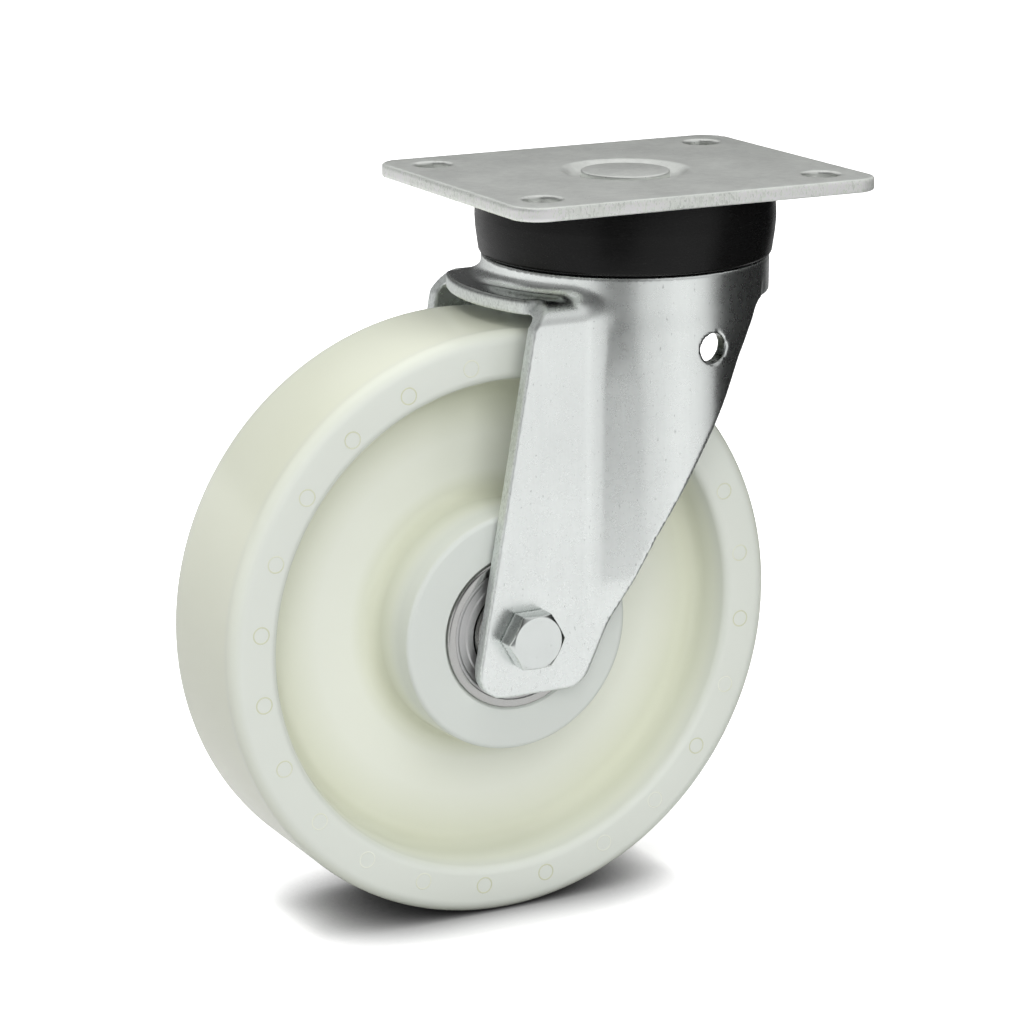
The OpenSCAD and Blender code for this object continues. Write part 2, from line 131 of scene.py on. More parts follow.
class CastorSizes(PropertyGroup):
    """Sizes of the finished pieces, in millimetres, beyond those that the frame gives."""

    sheet: size("Sheet", "Thickness of the fork's sheet", 5.0)
    cut_edge: size("Cut edge", "Radius of a punched edge", 0.7)
    neck_radius: size("Neck radius", "Outer radius of the fork's neck", 48.5)
    crown_radius: size("Crown radius", "Outer radius of the crown inside the seal", 46.4)
    neck_top: size("Neck top", "Height of the neck's shoulder", -27.6, -400.0)
    flange_top: size("Flange top", "Height of the front flange", -34.6, -400.0)
    flange_side: size("Flange side", "Half width of the front flange", 29.0)
    flange_arc: size("Flange arc", "Radius of the flange's front edge", 64.2)
    flange_arc_x: size("Flange arc centre", "Centre of that arc ahead of the swivel axis", 4.5)
    bend: size("Bend", "Outer radius between flange and leg", 8.0)
    neck_fillet: size("Neck fillet", "Radius where the neck meets the flange's top", 4.5)
    leg_fillet: size("Leg fillet", "Radius where the neck meets the legs", 3.5)
    fold_back: size("Fold", "How far the fold in the leg lies ahead of the neck's own", 2.5)
    leg: size("Leg", "Distance of the leg's outer face from the middle", 38.0)
    cross_hole: size("Cross hole", "Radius of the hole in each leg", 5.0)
    plate_corner: size("Plate corner", "Radius of the plate's corners", 10.0)
    plate_edge: size("Plate edge", "Radius of the plate's cut edges", 0.7)
    bolt_hole: size("Bolt hole", "Radius of the plate's holes", 6.25)
    bolt_x: size("Bolt spacing along", "Distance between holes along the plate", 105.0)
    bolt_y: size("Bolt spacing across", "Distance between holes across the plate", 77.5)
    dish_floor: size("Dish floor", "Radius of the dish's flat floor", 17.0)
    dish: size("Dish", "Radius of the dish at the plate's face", 22.5)
    dish_depth: size("Dish depth", "Depth of the dish", 2.5)
    rim: size("Rim", "Thickness of the wheel's rim at its lip", 16.0)
    web: size("Web", "Half thickness of the wheel's web", 8.0)
    hub: size("Hub", "Outer radius of the wheel's hub", 40.5)
    mark_ring: size("Mark circle", "Radius of the circle of mould marks", 90.0)
    mark: size("Mark", "Radius of one mould mark", 2.7)
    mark_turn: FloatProperty(name="Mark turn", description="Degrees to the first mould mark", default=8.9)
    marks: IntProperty(name="Marks", description="Mould marks on each side", default=24, min=0, max=48)
    grid: size("Surface step", "Spacing of the points of pressed pieces", 0.88, 0.4, 3.0)


class CastorFinish(PropertyGroup):
    """Colours and gloss of the castor's materials."""

    zinc: shade("Zinc", "Plating of the fork", (0.77, 0.80, 0.785))
    bolt: shade("Bolt", "Plating of bolts, nuts and washers", (0.68, 0.71, 0.695))
    plate: shade("Plate", "Duller plating of the top plate", (0.73, 0.75, 0.72))
    steel: shade("Steel", "Ground bearing steel", (0.46, 0.46, 0.45))
    shield: shade("Shield", "Pressed bearing shields", (0.55, 0.55, 0.54))
    dark: shade("Dark steel", "Inner pieces", (0.40, 0.40, 0.40))
    nylon: shade("Nylon", "Natural moulded nylon", (0.76, 0.785, 0.70))
    # Painted shade: this tint darkens the nylon's corners and tread; it also colours dirt on the mould marks.
    olive_shade_and_dirt: shade("Olive", "Nylon in its deep corners", (0.60, 0.62, 0.45))
    # Painted shade: darker, cooler nylon on the hub's ends and the rim's faces.
    cool_shade: shade("Cool nylon", "Nylon on the hub's ends", (0.60, 0.635, 0.605))
    plastic: shade("Plastic", "Black seal ring", (0.005, 0.005, 0.005))
    zinc_gloss: share("Zinc roughness", "Roughness of the plating", 0.28)
    nylon_gloss: share("Nylon roughness", "Roughness of the nylon", 0.22)
    plastic_gloss: share("Plastic roughness", "Roughness of the seal ring", 0.22)


class CastorStudio(PropertyGroup):
    """Camera, lamps and floor."""

    azimuth: FloatProperty(name="Azimuth", description="Turn of the camera in degrees", default=-27.833)
    elevation: FloatProperty(name="Elevation", description="Height of the camera in degrees", default=14.917)
    distance: size("Distance", "Camera to target", 1168.586, 100.0, 5000.0)
    target: FloatVectorProperty(name="Target", description="Point that the camera looks at",
                                default=(-42.886, 0.0, -113.268), size=3)
    lens: FloatProperty(name="Lens", description="Focal length on a 36 mm sensor", default=121.91)
    sky: share("Sky", "Level of the world's light on matt surfaces", 0.22)
    floor: share("Floor", "Brightness of the floor", 0.6)
    lift_near: share("Near lift", "White added to the floor that the camera sees under the castor", 0.6)
    lift_far: share("Far lift", "White added to the floor that the camera sees further off", 0.95)
    lift_glossy: share("Mirror lift", "White added to the floor that mirrors see", 0.25)
    contact: size("Contact", "Reach of the floor's contact shadow", 22.0)


def mesh_object(name, points, faces, body, slot, *nodes, cut=None, dim=None):
    """Makes a smooth piece from points in millimetres and faces, with its slot's usual material.

    The numbers in cut and dim say, point by point, how far a sheared edge's finish, with its painted
    highlight, and a patch of painted shade reach.
    """
    data = bpy.data.meshes.new(name)
    faces = faces if isinstance(faces, list) else faces.tolist()
    data.from_pydata((np.asarray(points) * MM).tolist(), [], faces)
    for label, values in (("cut", cut), ("dim", dim)):
        if values is not None:
            data.attributes.new(label, "FLOAT", "POINT").data.foreach_set("value", values)
    data.validate()
    data.polygons.foreach_set("use_smooth", np.ones(len(data.polygons), dtype=bool))
    data.update()
    piece = bpy.data.objects.new(name, data)
    bpy.context.scene.collection.objects.link(piece)
    if nodes:
        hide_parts(*nodes)
    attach(piece, body)
    return dress(piece, LOOKS[slot])


def rounded(points, steps=6):
    """Turns [r, t, radius] corners into a closed outline whose corners are arcs of the given radius."""
    corners = np.array([p[:2] for p in points], dtype=float)
    outline = []
    for i, (_, _, radius) in enumerate(points):
        here = corners[i]
        if radius == 0:
            outline.append(here)
            continue
        before = corners[i - 1] - here
        after = corners[(i + 1) % len(points)] - here
        before /= np.linalg.norm(before)
        after /= np.linalg.norm(after)
        half = math.acos(np.clip(before @ after, -1, 1)) / 2
        middle = (before + after) / np.linalg.norm(before + after)
        centre = here + middle * radius / math.sin(half)
        start = here + before * radius / math.tan(half) - centre
        end = here + after * radius / math.tan(half) - centre
        first = math.atan2(start[1], start[0])
        turn = (math.atan2(end[1], end[0]) - first + math.pi) % (2 * math.pi) - math.pi
        angles = first + turn * np.linspace(0, 1, steps + 1)
        outline.extend(centre + radius * np.column_stack([np.cos(angles), np.sin(angles)]))
    return np.array(outline)


def spokes(axis, count):
    """Angles evenly round an axis that lies square to +X, counted from +X, and the unit vectors there."""
    angle = np.linspace(0, 2 * np.pi, count, endpoint=False)
    first = np.array([1.0, 0.0, 0.0])
    return angle, np.cos(angle)[:, None] * first + np.sin(angle)[:, None] * np.cross(axis, first)


def turned(outline, centre, axis, count):
    """Grid points where an outline of (r, t) is carried round an axis: centre + axis * t + spoke * r."""
    _, ring = spokes(axis, count)
    r = outline[:, 0][:, None, None]
    t = outline[:, 1][:, None, None]
    return centre + axis * t + ring[None, :, :] * r


def grid_faces(rows, columns, closed_rows):
    """Quads of a grid whose columns close on themselves, and its rows too if asked."""
    i = np.arange(rows if closed_rows else rows - 1)[:, None]
    j = np.arange(columns)[None, :]
    below = (i + 1) % rows
    beside = (j + 1) % columns
    quads = [i * columns + j, below * columns + j, below * columns + beside, i * columns + beside]
    return np.stack([np.broadcast_to(q, (i.shape[0], columns)) for q in quads], axis=-1).reshape(-1, 4)


def area_under(outline):
    """Signed area of an outline."""
    r, t = outline.T
    return 0.5 * np.sum(r * np.roll(t, -1) - np.roll(r, -1) * t)


def turned_ring(name, outline, centre, axis, body, slot, *nodes, count=160, steps=6):
    """A closed ring turned from an outline of [r, t, radius] corners that stays off the axis."""
    outline = rounded(outline, steps)
    if area_under(outline) < 0:
        outline = outline[::-1]
    grid = turned(outline, centre, axis, count)
    return mesh_object(name, grid.reshape(-1, 3), grid_faces(len(outline), count, True), body, slot, *nodes)


def band(bore, reach, t0, t1, inner, outer):
    """Outline of a plain ring: its radii, its ends, and the rounds of its inner and outer edges."""
    return [[bore, t0, inner], [reach, t0, outer], [reach, t1, outer], [bore, t1, inner]]


def capped(grid, bottom, top):
    """Points and faces of a grid of rings that is closed by a pole at each end."""
    rows, columns = grid.shape[:2]
    points = np.vstack([grid.reshape(-1, 3), bottom, top])
    quads = grid_faces(rows, columns, False)[:, ::-1].tolist()
    j = np.arange(columns)
    after = (j + 1) % columns
    last = (rows - 1) * columns
    low_fan = np.column_stack([np.full(columns, rows * columns), after, j]).tolist()
    high_fan = np.column_stack([np.full(columns, rows * columns + 1), last + j, last + after]).tolist()
    return points, quads + low_fan + high_fan


def turned_solid(name, points, centre, axis, body, slot, *nodes, thread, count=160):
    """A solid turned from an open outline of [r, t, radius] corners that runs from pole to pole.

    thread is (lowest t, highest t, pitch, depth). On it r loses depth * the distance from the crest of a wave
    that climbs one pitch a turn, and the wave fades out over half a pitch at both ends.
    """
    closed = [[0.0, points[0][1], 0], *points, [0.0, points[-1][1], 0]]
    outline = rounded(closed)[1:-1]
    t0, t1, pitch, depth = thread
    per_pitch = 10
    extra = np.linspace(t0, t1, int((t1 - t0) / pitch * per_pitch) + 2)
    middle = np.column_stack([np.full(len(extra), points[1][0]), extra])
    outline = np.vstack([outline[outline[:, 1] < t0 - TINY], middle, outline[outline[:, 1] > t1 + TINY]])
    grid = turned(outline, centre, axis, count)
    turn = np.linspace(0, 1, count, endpoint=False)[None, :]
    r, t = outline[:, 0][:, None], outline[:, 1][:, None]
    wave = np.abs(((t / pitch - turn) % 1) * 2 - 1)
    fade = np.clip((t - t0) / pitch * 2, 0, 1) * np.clip((t1 - t) / pitch * 2, 0, 1)
    line = centre + axis * t[..., None]
    grid = line + (grid - line) * (1 - depth * wave * fade / np.maximum(r, 1))[..., None]
    made = capped(grid, centre + axis * outline[0, 1], centre + axis * outline[-1, 1])
    return mesh_object(name, *made, body, slot, *nodes)


def hexagon(angle, flats, corner):
    """Radius of a hexagon whose corners are cut back by a round of the given share."""
    sector = (angle + np.pi / 6) % (np.pi / 3) - np.pi / 6
    plain = flats / 2 / np.cos(np.pi / 6 - np.abs(sector))
    return np.minimum(plain, flats / 2 / math.cos(math.pi / 6) * (1 - corner))


def hex_solid(name, flats, t0, t1, centre, axis, body, slot, *nodes, bore=0.0, collar=0.0, count=240):
    """A hexagon head or nut as rings round its axis, from its washer face at t0 to its top at t1.

    Each ring's radius is the smaller of the hexagon and a 30 degree cone that starts at the face circle.
    A nut has a bore, and a lock nut a round collar above the hexagon. Small numbers are bevels in mm.
    """
    angle, ring = spokes(axis, count)
    hexa = hexagon(angle, flats, 0.006)
    face = flats * 0.475
    drop = (hexa - face) * math.tan(math.radians(30))
    top = t1 - collar
    ease, washer = 0.25, 0.4
    foot = t0 + washer
    edge = top - drop
    flank = edge - 2 * ease - t0 - washer
    rows = [(face, t0), (face + 0.02, foot), (hexa - ease, foot), (hexa - ease * 0.3, foot + ease * 0.3),
            (hexa, foot + ease)]
    rows += [(hexa, foot + ease + flank * k) for k in (0.33, 0.66, 1.0)]
    rows += [(hexa - 0.05, edge - 0.06), (hexa - 0.16, edge + 0.05)]
    rows += [(hexa + (face - hexa) * k, top - drop * (1 - k)) for k in (0.35, 0.7, 0.93)]
    rows += [(face - 0.05, top - 0.02), (face - 0.3, top)]
    if collar:
        neck = face - 0.9
        rows += [(neck + 0.25, top), (neck, top + 0.25), (neck, t1 - 1.2), (neck - 0.35, t1 - 0.35),
                 (neck - 1.2, t1)]
    if bore:
        rows += [(bore + 0.9, t1), (bore + 0.45, t1 - 0.15), (bore, t1 - 0.6), (bore, t0 + 0.5),
                 (bore + 0.4, t0 + 0.1), (bore + 0.5, t0)]
    else:
        rows = [(face * 0.5, t0), *rows, (face * 0.8, t1), (face * 0.4, t1)]
    flat = np.zeros(count)
    grid = np.array([centre + ring * (flat + r)[:, None] + axis * (flat + t)[:, None] for r, t in rows])
    if bore:
        made = grid.reshape(-1, 3), grid_faces(len(rows), count, True)[:, ::-1]
    else:
        made = capped(grid, centre + axis * t0, centre + axis * t1)
    return mesh_object(name, *made, body, slot, *nodes)


def round_union(a, b, radius):
    """Joins two fields with a concave fillet."""
    gap = np.hypot(np.maximum(radius - a, 0), np.maximum(radius - b, 0))
    return np.maximum(radius, np.minimum(a, b)) - gap


def round_overlap(a, b, radius):
    """Keeps what two fields share, and rounds the edge between them."""
    gap = np.hypot(np.maximum(radius + a, 0), np.maximum(radius + b, 0))
    return np.minimum(-radius, np.maximum(a, b)) + gap


def outline_field(outline, u, v):
    """Distance of (u, v) to a closed outline, negative inside."""
    nearest = np.full(u.shape, np.inf)
    inside = np.zeros(u.shape, dtype=bool)
    for (au, av), (bu, bv) in zip(outline, np.roll(outline, -1, axis=0)):
        eu, ev = bu - au, bv - av
        along = np.clip(((u - au) * eu + (v - av) * ev) / max(eu * eu + ev * ev, TINY), 0, 1)
        nearest = np.minimum(nearest, (u - au - along * eu) ** 2 + (v - av - along * ev) ** 2)
        crosses = (av > v) != (bv > v)
        inside ^= crosses & (u < au + (v - av) * eu / (ev if abs(ev) > TINY else TINY))
    return np.where(inside, -1, 1) * np.sqrt(nearest)


CELL_CORNERS = [(0, 0, 0), (1, 0, 0), (0, 1, 0), (1, 1, 0), (0, 0, 1), (1, 0, 1), (0, 1, 1), (1, 1, 1)]
CELL_EDGES = [(a, b) for a in range(8) for b in range(a + 1, 8)
              if sum(abs(p - q) for p, q in zip(CELL_CORNERS[a], CELL_CORNERS[b])) == 1]


def field_surface(field, corner, far_corner, step):
    """Closed surface where a field of x, y and z in millimetres is zero.

    Each grid cell that the surface crosses gets one point, at the mean of the crossings on the cell's
    edges, moved on to the surface along the field's slope. Each crossed grid edge gets the quad of its
    four cells.
    """
    counts = np.ceil((np.array(far_corner) - corner) / step).astype(int) + 1
    axes = [corner[k] + step * np.arange(counts[k]) for k in range(3)]
    value = field(*np.meshgrid(*axes, indexing="ij")).astype(np.float32)
    solid = value < 0
    n = np.array(solid.shape) - 1
    blocks = [solid[a:a + n[0], b:b + n[1], c:c + n[2]] for a, b, c in CELL_CORNERS]
    total = sum(block.astype(np.int8) for block in blocks)
    cells = np.argwhere((total > 0) & (total < 8))
    point = np.zeros((len(cells), 3))
    hits = np.zeros(len(cells))
    for a, b in CELL_EDGES:
        start = cells + CELL_CORNERS[a]
        end = cells + CELL_CORNERS[b]
        va = value[tuple(start.T)]
        vb = value[tuple(end.T)]
        cross = (va < 0) != (vb < 0)
        part = np.where(cross, va / np.where(va == vb, 1, va - vb), 0)
        point += np.where(cross[:, None], start + (end - start) * part[:, None], 0)
        hits += cross
    point = np.array(corner) + step * point / hits[:, None]
    home = point.copy()
    nudge = step * 0.05
    for _ in range(3):
        slope = np.column_stack([field(*(point + nudge * axis).T) - field(*(point - nudge * axis).T)
                                 for axis in np.eye(3)]) / (2 * nudge)
        move = slope * (field(*point.T) / np.maximum((slope ** 2).sum(axis=1), 0.05))[:, None]
        point = home + np.clip(point - move - home, -step * 0.6, step * 0.6)
    number = np.full(n, -1)
    number[tuple(cells.T)] = np.arange(len(cells))
    quads = []
    for axis in range(3):
        u, v = (axis + 1) % 3, (axis + 2) % 3
        one, two = np.eye(3, dtype=int)[u], np.eye(3, dtype=int)[v]
        head = [slice(None)] * 3
        tail = [slice(None)] * 3
        head[axis], tail[axis] = slice(None, -1), slice(1, None)
        edge = np.argwhere(solid[tuple(head)] != solid[tuple(tail)])
        edge = edge[(edge[:, u] > 0) & (edge[:, v] > 0) & (edge[:, u] < n[u]) & (edge[:, v] < n[v])]
        shifts = (one + two, two, 0 * one, one)
        four = np.column_stack([number[tuple((edge - shift).T)] for shift in shifts])
        outward = solid[tuple(edge.T)]
        quads.append(np.where(outward[:, None], four, four[:, ::-1]))
    return point, np.vstack(quads)


def fork_side_outline(s, rim):
    """Side view of the fork's legs: bend, front edge, lug round the axle, rear edge and neck's rim."""
    front, _, foot = low("fork")
    above = s.flange_top + 6
    return rounded([[front + 28, above, 0], [front + 28, s.flange_top, 0],
                    [front + 21.5, s.flange_top - s.bend, 4], [front, foot, 9], [AXLE[0] + 20.6, foot, 9],
                    [-13.0, rim - 75.5, 40], [21.0, rim - 15.4, 30], [NECK_REAR, rim - 1.0, 0],
                    [NECK_REAR, above, 0]], 5)


def eased_bulge():
    """Heights over the neck's rim every half millimetre, and the columns of BULGE there without kinks."""
    drop, *columns = np.array(BULGE).T
    heights = np.arange(-140.0, 20.0, 0.5)
    half = 8
    window = np.hanning(2 * half + 1)
    window = window / window.sum()
    plain = [np.pad(np.interp(-heights, drop, column), half, mode="edge") for column in columns]
    return heights, [np.convolve(column, window, mode="valid") for column in plain]


def fork_field(s):
    """Field of the pressed fork: an outer skin, less the same skin one sheet further in, cut to outline."""
    rim = s.flange_top - s.sheet
    side_view = fork_side_outline(s, rim)
    top = high("fork")[2]
    fold = math.sqrt(s.neck_radius ** 2 - s.leg ** 2)
    heights, (turns, shifts, corners) = eased_bulge()

    def bulge(x, side, z):
        """Distance outside the neck and the bulge below it, at each height a plane with a round crest.

        The plane rises by the angle a from the fold in the leg at (-hinge, leg). The crest, radius R about C,
        touches it: h = (p - C) . (-sin a, cos a) and t = (p - C) . (-cos a, -sin a), less its part between 0
        and the fold, give hypot(h, t) - R. From 6 degrees behind C a smaller circle takes over.
        """
        share = np.interp(z - rim, heights, turns)
        # The fold is fully moved where the share has come down by this much.
        full = 0.36
        hinge = fold + s.fold_back * np.minimum((1.0 - share) / full, 1.0)
        turn = share * math.asin(fold / s.neck_radius)
        sine, cosine = np.sin(turn), np.cos(turn)
        centre_x = np.interp(z - rim, heights, shifts)
        centre_y = s.leg + ((centre_x + hinge) * sine - s.neck_radius) / cosine
        u, v = x - centre_x, side - centre_y
        along = -u * cosine - v * sine
        reach = (centre_x + hinge) * cosine + (centre_y - s.leg) * sine
        wall = np.hypot(v * cosine - u * sine, along - np.clip(along, 0, reach)) - s.neck_radius
        corner = np.interp(z - rim, heights, corners) * s.neck_radius
        # Sine and cosine of those 6 degrees.
        lean, rise = 0.105, 0.9945
        u, v = u - lean * (s.neck_radius - corner), v - rise * (s.neck_radius - corner)
        return np.where((u > 0) & (u * rise > v * lean), np.hypot(u, v) - corner, wall)

    def limit(x, y, z):
        """Distance outside the sheared outline: legs, a ring above the neck's rim, and the flange's tongue.

        The ring reaches 4 mm past the neck and meets the legs in a round of 2.5 mm.
        """
        side = np.abs(y)
        tongue = round_overlap(np.hypot(x - s.flange_arc_x, y) - s.flange_arc, side - s.flange_side, 2.0)
        tongue = np.maximum(tongue, rim - 1.5 - z)
        ring = np.maximum(np.hypot(x, y) - s.neck_radius - 4, rim - z)
        return np.minimum(round_union(outline_field(side_view, x, z), ring, 2.5), tongue)

    def skin(x, side, z, inset, under, shoulder):
        """Channel, neck and crown, moved in by inset, over the flange's face at under.

        shoulder is the radius of the neck's top edge.
        """
        channel = round_overlap(side - s.leg + inset, z - under, s.bend - inset)
        neck = round_overlap(bulge(x, side, z) + inset, z - s.neck_top + inset, shoulder)
        crown = round_overlap(np.hypot(x, side) - s.crown_radius + inset, z - top + inset, 2.5)
        return channel, neck, np.maximum(crown, under - z)

    def field(x, y, z):
        """Distance outside the fork's steel."""
        side = np.abs(y)
        reach = np.hypot(x, y)
        channel, neck, crown = skin(x, side, z, 0.0, s.flange_top, 0.8)
        # The neck's fillet narrows down the legs as the bulge turns away from them.
        raised = np.interp(z, [rim - 3.0, s.flange_top - 1.0], [0.0, 1.0])
        fillet = s.leg_fillet * np.interp(z - rim, heights, turns) ** 2
        fillet = fillet + raised * (s.neck_fillet - fillet)
        outer = np.minimum(round_union(np.maximum(channel, x - NECK_REAR), neck, fillet), crown)
        inner = np.minimum.reduce(skin(x, side, z, s.sheet, rim, 2.0))
        solid = round_overlap(np.maximum(outer, -inner), limit(x, y, z), s.cut_edge)
        solid = round_overlap(solid, s.cross_hole - np.hypot(x - HOLE_X, z - rim + HOLE_DROP), s.cut_edge / 2)
        solid = np.maximum(solid, LEG_BORE - np.hypot(x - AXLE[0], z - AXLE[2]))
        solid = np.maximum(solid, CROWN_BORE - reach)
        # Grooves for both ball rows, a tenth of a millimetre wider than the balls.
        for balls in ("upper_balls", "lower_balls"):
            middle = (low(balls)[2] + high(balls)[2]) / 2
            ball = (high(balls)[2] - low(balls)[2]) / 2
            pitch = high(balls)[0] - ball
            solid = np.maximum(solid, ball + 0.1 - np.hypot(reach - pitch, z - middle))
        return solid

    return field, limit


def plate_field(s):
    """Field of the top plate: a sheet that follows the dish, cut to its outline and holes."""
    lo, hi = low("top_plate"), high("top_plate")
    thick = hi[2] - lo[2] - s.dish_depth
    half = (hi - lo) / 2

    def limit(x, y, z):
        """Distance outside the plate's outline."""
        qx = np.abs(x) - half[0] + s.plate_corner
        qy = np.abs(y) - half[1] + s.plate_corner
        outside = np.hypot(np.maximum(qx, 0), np.maximum(qy, 0))
        return outside + np.minimum(np.maximum(qx, qy), 0) - s.plate_corner

    def field(x, y, z):
        """Distance outside the plate's steel."""
        reach = np.hypot(x, y)
        ramp = np.clip((s.dish - reach) / (s.dish - s.dish_floor), 0, 1)
        sunk = s.dish_depth * ramp * ramp * (3 - 2 * ramp)
        sheet = np.abs(z + thick / 2 + sunk) - thick / 2
        hole = s.bolt_hole - np.hypot(np.abs(x) - s.bolt_x / 2, np.abs(y) - s.bolt_y / 2)
        solid = round_overlap(sheet, limit(x, y, z), s.plate_edge)
        solid = round_overlap(solid, hole, s.plate_edge * 0.6)
        return np.maximum(solid, PLATE_BORE - reach)

    return field, limit


def sheared(limit, points):
    """How far the finish of a sheared edge reaches at each point: 1 on the edge, 0 from one millimetre in."""
    return np.clip(1.0 + limit(*points.T), 0.0, 1.0)


def new_group(name, colours, numbers):
    """A node group from a vector, colours and numbers to colour, roughness and height.

    Gives its tree, the sockets of what it is given, and its output node.
    """
    tree = bpy.data.node_groups.new(name, "ShaderNodeTree")

    def socket(label, kind, way="INPUT"):
        return tree.interface.new_socket(name=label, in_out=way, socket_type="NodeSocket" + kind)

    socket("Vector", "Vector")
    for label in colours:
        socket(label, "Color")
    for label, value in numbers.items():
        socket(label, "Float").default_value = value
    for label, kind in (("Color", "Color"), ("Roughness", "Float"), ("Height", "Float")):
        socket(label, kind, "OUTPUT")
    return tree, tree.nodes.new("NodeGroupInput").outputs, tree.nodes.new("NodeGroupOutput")


def fill(tree, node, inputs):
    """Fills a node's inputs with values or links, and gives the node back."""
    for key, value in inputs.items():
        if isinstance(value, bpy.types.NodeSocket):
            tree.links.new(value, node.inputs[key])
        else:
            node.inputs[key].default_value = value
    return node


def put(tree, kind, inputs=None, **settings):
    """Adds a node, sets its properties, and fills its inputs with values or links."""
    made = tree.nodes.new(kind)
    for key, value in settings.items():
        setattr(made, key, value)
    return fill(tree, made, inputs or {})


def maths(tree, operation, first, *others):
    """Joins values by a Math node's operation, one after another."""
    for other in others:
        first = put(tree, "ShaderNodeMath", {0: first, 1: other, 2: 0.0}, operation=operation).outputs[0]
    return first


def total(tree, *values):
    """Adds values up."""
    return maths(tree, "ADD", *values)


def times(tree, *values):
    """Multiplies values."""
    return maths(tree, "MULTIPLY", *values)


def noise(tree, vector, scale, detail=3.0, roughness=0.55):
    """A noise value from 0 to 1."""
    inputs = {"Vector": vector, "Scale": scale, "Detail": detail, "Roughness": roughness}
    return put(tree, "ShaderNodeTexNoise", inputs).outputs["Fac"]


def mapped(tree, value, a, b, c=0.0, d=1.0):
    """Value a to b taken to c to d, and held at both ends."""
    inputs = {"Value": value, "From Min": a, "From Max": b, "To Min": c, "To Max": d}
    return put(tree, "ShaderNodeMapRange", inputs, clamp=True).outputs["Result"]


def blended(tree, factor, a, b, how="MIX"):
    """Mixes two colours."""
    return put(tree, "ShaderNodeMix", {0: factor, 6: a, 7: b}, data_type="RGBA", blend_type=how).outputs[2]


def grey(tree, level):
    """A colour without hue."""
    return put(tree, "ShaderNodeCombineColor", {0: level, 1: level, 2: level}).outputs[0]


def stretched(tree, vector, scale):
    """A vector scaled along each axis."""
    return put(tree, "ShaderNodeMapping", {"Vector": vector, "Scale": scale}).outputs[0]


def moved(tree, vector, location):
    """A vector moved by a location in metres."""
    return put(tree, "ShaderNodeMapping", {"Vector": vector, "Location": location}).outputs[0]


def swing(tree, value, amount):
    """A noise value as a swing about zero."""
    return times(tree, maths(tree, "SUBTRACT", value, 0.5), amount)


def plating_group():
    """Handled zinc plating: clouds, mottling, streaks along Z, dark specks, a painted highlight and extra
    roughness on sheared edges (cut), and painted shade where dim is set.
    """
    numbers = {"Roughness": 0.3, "Clouds": 0.3, "Streaks": 0.3, "Specks": 0.3, "Cut": 0.0, "Dim": 0.0,
               "Edge": 0.1}
    tree, given, leave = new_group("plating", ["Color"], numbers)
    place, cut, dim = given["Vector"], given["Cut"], given["Dim"]
    clouds = noise(tree, place, 45.0, 4.0, 0.55)
    mottle = noise(tree, place, 320.0, 5.0, 0.65)
    streaks = noise(tree, stretched(tree, place, (1.0, 1.0, 0.05)), 900.0, 4.0, 0.65)
    chips = noise(tree, stretched(tree, place, (1.0, 1.0, 0.45)), 1100.0, 3.0, 0.6)
    worn = noise(tree, place, 70.0, 2.0, 0.5)
    limit = total(tree, 0.735, times(tree, worn, -0.12), times(tree, cut, -0.10))
    specks = times(tree, mapped(tree, maths(tree, "SUBTRACT", chips, limit), 0.0, 0.03), given["Specks"])
    tone = total(tree, swing(tree, clouds, given["Clouds"]),
                 swing(tree, mottle, times(tree, given["Clouds"], 0.7)),
                 swing(tree, streaks, given["Streaks"]), times(tree, specks, -0.45))
    # Painted highlight: sheared edges are lightened by Edge, with random speckle from the chips.
    shear = times(tree, cut, total(tree, given["Edge"], swing(tree, chips, 0.9)))
    # Painted shade: dim darkens the colour by up to 0.6.
    bright = total(tree, 1.0, tone, shear, times(tree, dim, -0.6))
    rough = total(tree, given["Roughness"], swing(tree, mottle, 0.12), times(tree, specks, 0.2),
                  times(tree, cut, 0.3), times(tree, dim, -0.08))
    height = total(tree, times(tree, mottle, 0.5), times(tree, specks, -0.35),
                   times(tree, cut, times(tree, chips, 1.6)))
    fill(tree, leave, {"Color": blended(tree, 1.0, given["Color"], grey(tree, bright), "MULTIPLY"),
                       "Roughness": maths(tree, "MAXIMUM", rough, 0.05), "Height": height})
    return tree


